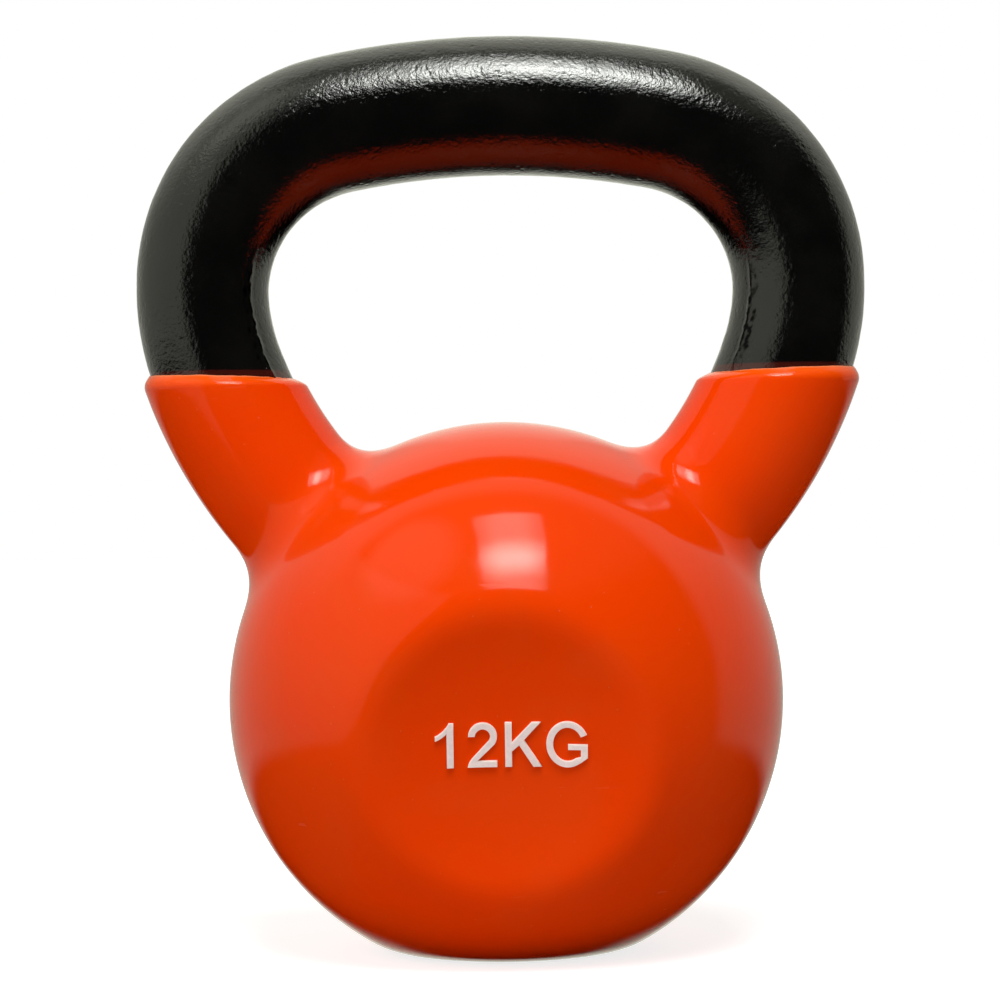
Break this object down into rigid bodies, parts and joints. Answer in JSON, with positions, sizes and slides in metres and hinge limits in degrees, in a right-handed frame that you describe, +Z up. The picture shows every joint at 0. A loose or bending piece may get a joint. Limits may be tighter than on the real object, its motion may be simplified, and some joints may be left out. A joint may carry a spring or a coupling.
{
  "type": "kettlebell",
  "caption": "Cast iron kettlebell with a black enamelled loop handle and a glossy vinyl-dipped bell, dished on both faces, with its weight in raised figures.",
  "frame": {"origin": "bottom centre of the bounding box, which is the centre of the flat resting base", "axes": "+Z up from the base through the handle, +X along the handle from horn to horn, -Y out of the face that carries the weight mark"},
  "size_m": [0.1886, 0.1326, 0.2362],
  "materials": {
    "iron": "matte",
    "enamel": "satin",
    "vinyl": "gloss",
    "mark_paint": "satin"
  },
  "bodies": {
    "root": {"iron_casting": "iron", "handle_enamel": "enamel", "vinyl_sleeve": "vinyl", "figure_1": "mark_paint", "figure_2": "mark_paint", "letter_k": "mark_paint", "letter_g": "mark_paint"}
  },
  "joints": []
}
